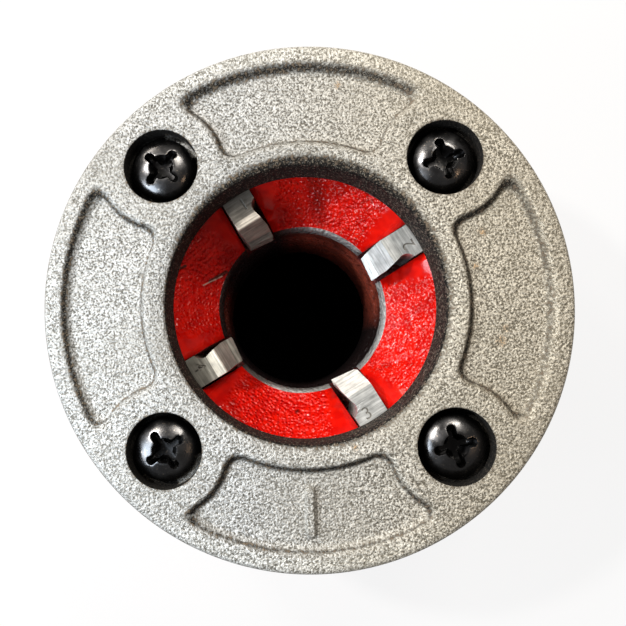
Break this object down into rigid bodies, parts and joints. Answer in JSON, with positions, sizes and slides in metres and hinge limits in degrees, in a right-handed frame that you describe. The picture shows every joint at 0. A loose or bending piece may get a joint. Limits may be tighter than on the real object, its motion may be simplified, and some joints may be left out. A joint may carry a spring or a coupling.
{
  "type": "pipe threading die head",
  "caption": "Round drop-in die head for threading pipe by hand or power: red cast body with an eight-pointed hub, toothed dies in radial slots and a bright screwed-on cover plate.",
  "frame": {"origin": "middle of the back face, on the bore's axis", "axes": "+Z along the bore from the back, where the pipe enters, to the cover plate; the cover screws lie at 45 degrees to +X and +Y"},
  "size_m": [0.1016, 0.1016, 0.056],
  "materials": {
    "red_paint": "gloss enamel over a cast surface",
    "cover_metal": "shot-blasted and plated casting, grimy in its corners",
    "die_steel": "ground tool steel",
    "screw_steel": "black oxide"
  },
  "bodies": {
    "head": {"die_head_body": "red_paint", "cover_plate": "cover_metal", "cover_screws": "screw_steel"},
    "die_1": {"die_1": "die_steel"},
    "die_2": {"die_2": "die_steel"},
    "die_3": {"die_3": "die_steel"},
    "die_4": {"die_4": "die_steel"}
  },
  "joints": [
    {"name": "die_1_slide", "type": "slide", "parent": "head", "child": "die_1", "axis": [-0.5075, 0.8616, 0], "range_m": [-0.0009, 0]},
    {"name": "die_2_slide", "type": "slide", "parent": "head", "child": "die_2", "axis": [0.8616, 0.5075, 0], "range_m": [-0.0009, 0]},
    {"name": "die_3_slide", "type": "slide", "parent": "head", "child": "die_3", "axis": [0.5075, -0.8616, 0], "range_m": [-0.0009, 0]},
    {"name": "die_4_slide", "type": "slide", "parent": "head", "child": "die_4", "axis": [-0.8616, -0.5075, 0], "range_m": [-0.0009, 0]}
  ]
}
